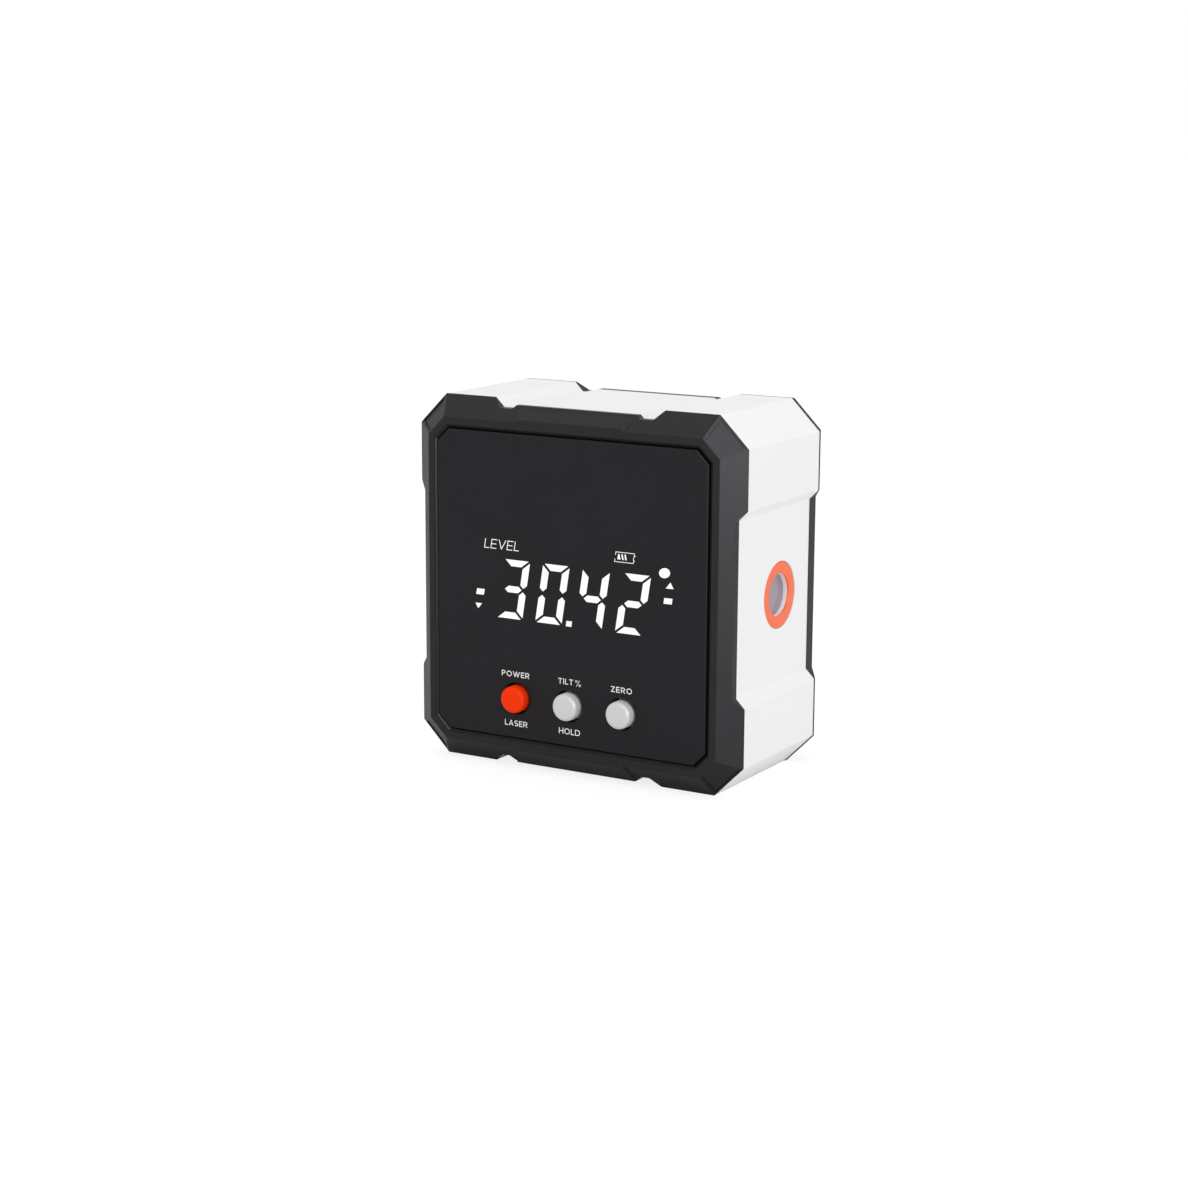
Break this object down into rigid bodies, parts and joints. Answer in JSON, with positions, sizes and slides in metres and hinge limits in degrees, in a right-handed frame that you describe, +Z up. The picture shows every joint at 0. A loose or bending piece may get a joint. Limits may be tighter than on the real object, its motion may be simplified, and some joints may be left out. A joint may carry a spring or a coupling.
{
  "type": "digital laser level",
  "caption": "Square box level with a lit digital display, push buttons, a laser in each side, a magnetic base and a battery door in the back.",
  "frame": {"origin": "middle of the underside, on the surface the level stands on", "axes": "+X to the right of the display, +Y from the display to the back, +Z up"},
  "size_m": [0.06, 0.0336, 0.06],
  "materials": {
    "case_white": "fine satin moulded ABS",
    "cover_black": "fine satin moulded ABS, near black",
    "window_black": "smoked acrylic, satin face, white print",
    "button_orange": "satin moulded plastic",
    "button_grey": "satin moulded plastic",
    "ring_orange": "moulded plastic, slight gloss",
    "laser_glass": "clear tinted glass",
    "display_glass": "display sandwich, dark when unlit",
    "backlight_white": "light guide",
    "holder_plastic": "moulded plastic",
    "strip_rubber": "soft rubber",
    "board_green": "glass-fibre board, green solder mask",
    "chip_black": "moulded epoxy",
    "capacitor_can": "bare can",
    "barrel_brass": "turned brass",
    "diode_can": "gold-plated can",
    "screw_steel": "bright zinc plating",
    "screw_black": "black oxide",
    "contact_steel": "nickel-plated spring steel",
    "magnet_nickel": "nickel plating",
    "cell_wrap": "plain printed sleeve over a steel can",
    "lead_insulation": "PVC insulation",
    "print_white": "screen-printed white ink",
    "display_light": "lit segments seen through the window"
  },
  "bodies": {
    "root": {"aiming_screws_left": "screw_steel", "aiming_screws_right": "screw_steel", "backlight_panel": "backlight_white", "base_magnet_front_left": "magnet_nickel", "base_magnet_front_right": "magnet_nickel", "base_magnet_rear_left": "magnet_nickel", "base_magnet_rear_right": "magnet_nickel", "battery_leads": "lead_insulation", "battery_left": "cell_wrap", "battery_right": "cell_wrap", "board_capacitor": "capacitor_can", "board_screws": "screw_steel", "body_frame": "case_white", "contact_strip": "strip_rubber", "cover_screws": "screw_black", "display_gasket": "strip_rubber", "display_glass": "display_glass", "display_holder": "holder_plastic", "front_cover": "cover_black", "front_window": "window_black", "hold_switch": "chip_black", "joining_contact": "contact_steel", "joining_spring": "contact_steel", "laser_barrel_left": "barrel_brass", "laser_barrel_right": "barrel_brass", "laser_diode_left": "diode_can", "laser_diode_right": "diode_can", "laser_driver_left": "board_green", "laser_driver_right": "board_green", "laser_glass_left": "laser_glass", "laser_glass_right": "laser_glass", "laser_lead_left": "lead_insulation", "laser_lead_right": "lead_insulation", "laser_lens_left": "laser_glass", "laser_lens_right": "laser_glass", "laser_ring_left": "ring_orange", "laser_ring_right": "ring_orange", "lower_spring": "contact_steel", "main_board": "board_green", "minus_contact": "contact_steel", "plus_contact": "contact_steel", "power_switch": "chip_black", "processor_chip": "chip_black", "rear_cover": "cover_black", "tilt_sensor": "chip_black", "zero_switch": "chip_black"},
    "power_button": {"power_button": "button_orange", "power_plunger": "chip_black"},
    "hold_button": {"hold_button": "button_grey", "hold_plunger": "chip_black"},
    "zero_button": {"zero_button": "button_grey", "zero_plunger": "chip_black"},
    "battery_door": {"battery_door": "cover_black"}
  },
  "joints": [
    {"name": "power_press", "type": "slide", "parent": "root", "child": "power_button", "axis": [0, 1, 0], "range_m": [0, 0.0005], "stiffness_N_per_m": 1500, "springref_m": -0.0003},
    {"name": "hold_press", "type": "slide", "parent": "root", "child": "hold_button", "axis": [0, 1, 0], "range_m": [0, 0.0005], "stiffness_N_per_m": 1500, "springref_m": -0.0003},
    {"name": "zero_press", "type": "slide", "parent": "root", "child": "zero_button", "axis": [0, 1, 0], "range_m": [0, 0.0005], "stiffness_N_per_m": 1500, "springref_m": -0.0003},
    {"name": "battery_door_lift", "type": "slide", "parent": "root", "child": "battery_door", "axis": [0, 1, 0], "range_m": [0, 0.02]}
  ]
}
